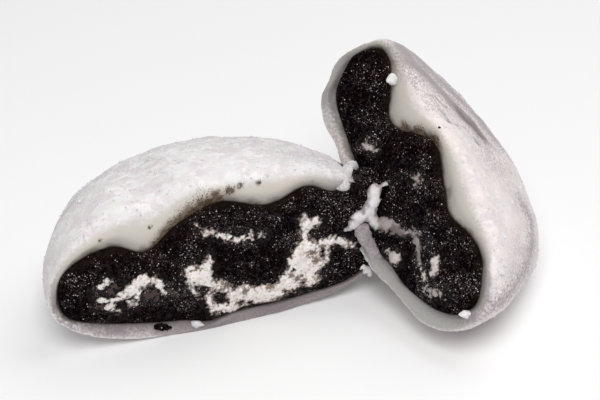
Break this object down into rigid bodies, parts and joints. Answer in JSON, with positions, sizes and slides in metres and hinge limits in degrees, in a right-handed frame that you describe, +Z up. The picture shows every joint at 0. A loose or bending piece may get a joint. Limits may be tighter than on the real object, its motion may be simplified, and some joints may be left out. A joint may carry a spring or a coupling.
{
  "type": "black sesame mochi",
  "caption": "Black sesame mochi torn open, its white starch-dusted rice skin wrapped round a near-black sesame filling streaked with pale paste.",
  "frame": {"origin": "on the ground, under the middle of the bounding box", "axes": "+Z up, +X to the right along the piece, from the half that sits on its base to the half that lies on its side, -Y towards the torn faces"},
  "size_m": [0.0774, 0.0453, 0.0363],
  "materials": {
    "skin": "soft rice dough dusted with starch",
    "filling": "grainy paste with tiny glints",
    "pale_paste": "crumbly paste"
  },
  "bodies": {
    "root": {"rice_skin": "skin", "sesame_filling": "filling", "pale_band_left": "pale_paste", "pale_patch_left": "pale_paste", "pale_thread_left": "pale_paste", "pale_thread_right": "pale_paste", "pale_lump_right": "pale_paste", "pale_drop_right": "pale_paste"}
  },
  "joints": []
}
